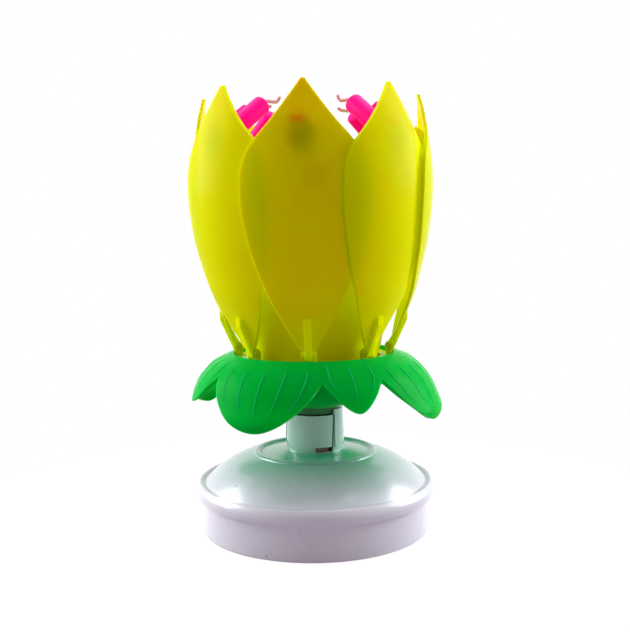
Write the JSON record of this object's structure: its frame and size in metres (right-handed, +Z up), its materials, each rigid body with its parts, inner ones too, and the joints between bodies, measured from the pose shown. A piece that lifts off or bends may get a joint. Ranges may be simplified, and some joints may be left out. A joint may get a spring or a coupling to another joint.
{
  "type": "musical birthday candle",
  "caption": "Lotus-flower birthday candle on a white battery base: overlapping petals hinge outwards with small candles inside while the flower turns.",
  "frame": {"origin": "middle of the underside of the round base, on the axis the flower turns about", "axes": "+Z up along the turning axis, -Y towards the viewer of the picture, +X to the viewer's right"},
  "size_m": [0.0726, 0.0726, 0.125],
  "materials": {
    "white_casing": "glossy white moulding",
    "white_nylon": "semi-matt nylon",
    "green_plastic": "glossy green moulding",
    "hub_plastic": "dark green-grey moulding",
    "petal_plastic": "thin lime-yellow moulding",
    "candle_wax": "hot pink wax",
    "wick_cotton": "waxed cotton",
    "sparkler_paper": "rolled paper",
    "sparkler_mix": "pressed grey powder",
    "fuse_cord": "twisted paper",
    "thread": "fine nylon thread",
    "screw_steel": "zinc plated",
    "spring_steel": "nickel plated",
    "motor_steel": "zinc plated can",
    "cell_jacket": "plain lacquered jacket",
    "board_laminate": "lacquered laminate",
    "chip_resin": "cast black resin",
    "sounder_brass": "bright brass"
  },
  "bodies": {
    "base": {"base_tray": "white_casing", "base_cover": "white_casing", "neck_sleeve": "white_casing", "neck_bush": "white_nylon", "battery_cell": "cell_jacket", "contact_plate": "spring_steel", "contact_spring": "spring_steel", "spring_plate": "spring_steel", "battery_hatch": "white_casing", "hatch_screw": "screw_steel", "casing_screws": "screw_steel", "motor_can": "motor_steel", "motor_cap": "white_nylon", "idler_post": "screw_steel", "circuit_board": "board_laminate", "music_chip": "chip_resin", "sounder_disc": "sounder_brass", "switch_pin": "screw_steel", "switch_contact": "sounder_brass", "trigger_thread": "thread"},
    "flower": {"calyx": "green_plastic", "petal_ring": "petal_plastic", "hinge_pins": "petal_plastic", "inner_cup": "petal_plastic", "sparkler_tube": "sparkler_paper", "sparkler_filling": "sparkler_mix", "sparkler_fuse": "fuse_cord", "hub": "hub_plastic", "output_shaft": "white_nylon", "output_gear": "white_nylon"},
    "idler": {"idler_gear": "white_nylon"},
    "motor_rotor": {"motor_shaft": "screw_steel", "motor_pinion": "white_nylon"},
    "switch": {"switch_leaf": "sounder_brass"},
    "petal_1": {"petal_1": "petal_plastic", "candle_1": "candle_wax", "wick_1": "wick_cotton"},
    "petal_2": {"petal_2": "petal_plastic", "candle_2": "candle_wax", "wick_2": "wick_cotton"},
    "petal_3": {"petal_3": "petal_plastic", "candle_3": "candle_wax", "wick_3": "wick_cotton"},
    "petal_4": {"petal_4": "petal_plastic", "candle_4": "candle_wax", "wick_4": "wick_cotton"},
    "petal_5": {"petal_5": "petal_plastic", "candle_5": "candle_wax", "wick_5": "wick_cotton"},
    "petal_6": {"petal_6": "petal_plastic", "candle_6": "candle_wax", "wick_6": "wick_cotton"},
    "petal_7": {"petal_7": "petal_plastic", "candle_7": "candle_wax", "wick_7": "wick_cotton"},
    "petal_8": {"petal_8": "petal_plastic", "candle_8": "candle_wax", "wick_8": "wick_cotton"}
  },
  "joints": [
    {"name": "flower_turn", "type": "hinge", "parent": "base", "child": "flower", "pos_m": [0, 0, 0], "axis": [0, 0, 1], "continuous": true},
    {"name": "idler_turn", "type": "hinge", "parent": "base", "child": "idler", "pos_m": [-0.006, -0.01375, 0.017], "axis": [0, 0, 1], "continuous": true},
    {"name": "motor_turn", "type": "hinge", "parent": "base", "child": "motor_rotor", "pos_m": [0.00624, -0.01624, 0.01], "axis": [0, 0, 1], "continuous": true},
    {"name": "switch_close", "type": "hinge", "parent": "base", "child": "switch", "pos_m": [-0.0124, -0.0003, 0.01315], "axis": [0, 1, 0], "range_deg": [0, 6.5], "stiffness_Nm_per_rad": 0.002, "springref_deg": -5.73},
    {"name": "petal_1_open", "type": "hinge", "parent": "flower", "child": "petal_1", "pos_m": [-0.00136, -0.02216, 0.0532], "axis": [0.9981, -0.061, 0], "range_deg": [0, 52]},
    {"name": "petal_2_open", "type": "hinge", "parent": "flower", "child": "petal_2", "pos_m": [0.01471, -0.01663, 0.0532], "axis": [0.749, 0.6626, 0], "range_deg": [0, 52]},
    {"name": "petal_3_open", "type": "hinge", "parent": "flower", "child": "petal_3", "pos_m": [0.02216, -0.00136, 0.0532], "axis": [0.061, 0.9981, 0], "range_deg": [0, 52]},
    {"name": "petal_4_open", "type": "hinge", "parent": "flower", "child": "petal_4", "pos_m": [0.01663, 0.01471, 0.0532], "axis": [-0.6626, 0.749, 0], "range_deg": [0, 52]},
    {"name": "petal_5_open", "type": "hinge", "parent": "flower", "child": "petal_5", "pos_m": [0.00136, 0.02216, 0.0532], "axis": [-0.9981, 0.061, 0], "range_deg": [0, 52]},
    {"name": "petal_6_open", "type": "hinge", "parent": "flower", "child": "petal_6", "pos_m": [-0.01471, 0.01663, 0.0532], "axis": [-0.749, -0.6626, 0], "range_deg": [0, 52]},
    {"name": "petal_7_open", "type": "hinge", "parent": "flower", "child": "petal_7", "pos_m": [-0.02216, 0.00136, 0.0532], "axis": [-0.061, -0.9981, 0], "range_deg": [0, 52]},
    {"name": "petal_8_open", "type": "hinge", "parent": "flower", "child": "petal_8", "pos_m": [-0.01663, -0.01471, 0.0532], "axis": [0.6626, -0.749, 0], "range_deg": [0, 52]}
  ],
  "couplings": [
    {"joint": "idler_turn", "follows": "flower_turn", "ratio": -4},
    {"joint": "motor_turn", "follows": "flower_turn", "ratio": 16},
    {"joint": "petal_2_open", "follows": "petal_1_open", "ratio": 1},
    {"joint": "petal_3_open", "follows": "petal_1_open", "ratio": 1},
    {"joint": "petal_4_open", "follows": "petal_1_open", "ratio": 1},
    {"joint": "petal_5_open", "follows": "petal_1_open", "ratio": 1},
    {"joint": "petal_6_open", "follows": "petal_1_open", "ratio": 1},
    {"joint": "petal_7_open", "follows": "petal_1_open", "ratio": 1},
    {"joint": "petal_8_open", "follows": "petal_1_open", "ratio": 1}
  ]
}
